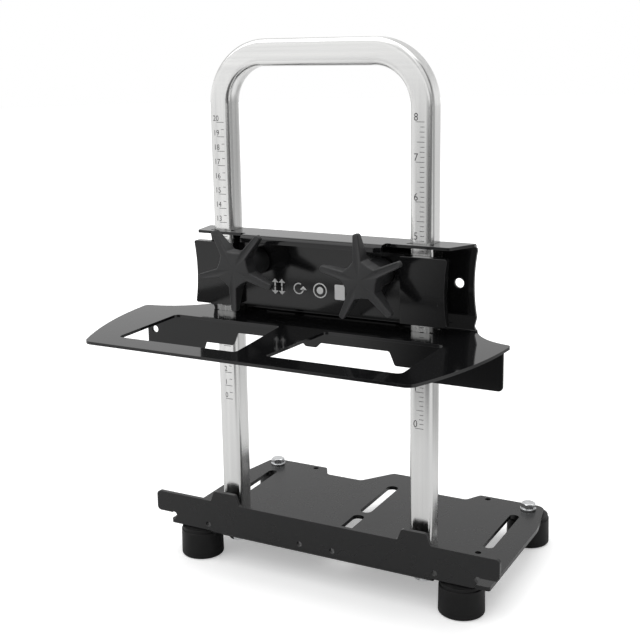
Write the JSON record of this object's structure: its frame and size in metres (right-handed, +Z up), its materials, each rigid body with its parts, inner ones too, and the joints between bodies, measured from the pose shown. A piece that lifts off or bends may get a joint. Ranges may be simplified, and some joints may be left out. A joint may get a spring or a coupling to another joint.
{
  "type": "height-adjustable guide jig",
  "caption": "Height-adjustable jig: a slotted base on rubber feet, a bent square tube as legs, and a sliding carriage with a windowed deck, clamped by star knobs.",
  "frame": {"origin": "centre of the footprint seen from above, on the floor that the four feet stand on", "axes": "+Z up along the legs, +Y to the rear, +X to the right when facing the knobs"},
  "size_m": [0.2778, 0.2636, 0.383],
  "materials": {
    "base_coat": "satin black powder coat on sheet steel",
    "carriage_coat": "glossy black powder coat on sheet steel",
    "clamp_coat": "glossy black powder coat on pressed steel",
    "tube_metal": "bright drawn aluminium tube with engraved scales",
    "plug_metal": "plain machined aluminium",
    "zinc": "bright zinc-plated steel",
    "insert_metal": "plain brass",
    "foot_rubber": "matte black rubber",
    "knob_plastic": "matte black moulded plastic"
  },
  "bodies": {
    "base": {"base_plate": "base_coat", "u_tube": "tube_metal", "leg_plug_left": "plug_metal", "leg_plug_right": "plug_metal", "leg_bolts": "zinc", "leg_washers": "zinc", "foot_front_left": "foot_rubber", "foot_front_right": "foot_rubber", "foot_rear_left": "foot_rubber", "foot_rear_right": "foot_rubber", "foot_inserts": "insert_metal", "foot_bolts": "zinc", "foot_washers": "zinc"},
    "carriage": {"carriage_bracket": "carriage_coat", "guide_plate": "carriage_coat", "clamp_bolt_left": "zinc", "clamp_bolt_right": "zinc"},
    "clamp": {"clamp_plate": "clamp_coat", "knob_washer_left": "zinc", "knob_washer_right": "zinc"},
    "left_knob": {"knob_left": "knob_plastic", "knob_insert_left": "insert_metal"},
    "right_knob": {"knob_right": "knob_plastic", "knob_insert_right": "insert_metal"}
  },
  "joints": [
    {"name": "carriage_height", "type": "slide", "parent": "base", "child": "carriage", "axis": [0, 0, 1], "range_m": [-0.113, 0.08]},
    {"name": "clamp_release", "type": "slide", "parent": "carriage", "child": "clamp", "axis": [0, -1, 0], "range_m": [0, 0.0025]},
    {"name": "knob_left_turn", "type": "hinge", "parent": "clamp", "child": "left_knob", "pos_m": [-0.047, -0.03, 0.2315], "axis": [0, -1, 0], "range_deg": [0, 720]},
    {"name": "knob_right_turn", "type": "hinge", "parent": "clamp", "child": "right_knob", "pos_m": [0.047, -0.03, 0.2315], "axis": [0, -1, 0], "range_deg": [0, 720]}
  ],
  "couplings": [
    {"joint": "knob_left_turn", "follows": "clamp_release", "rad_per_m": 5026.5},
    {"joint": "knob_right_turn", "follows": "clamp_release", "rad_per_m": 5026.5}
  ]
}
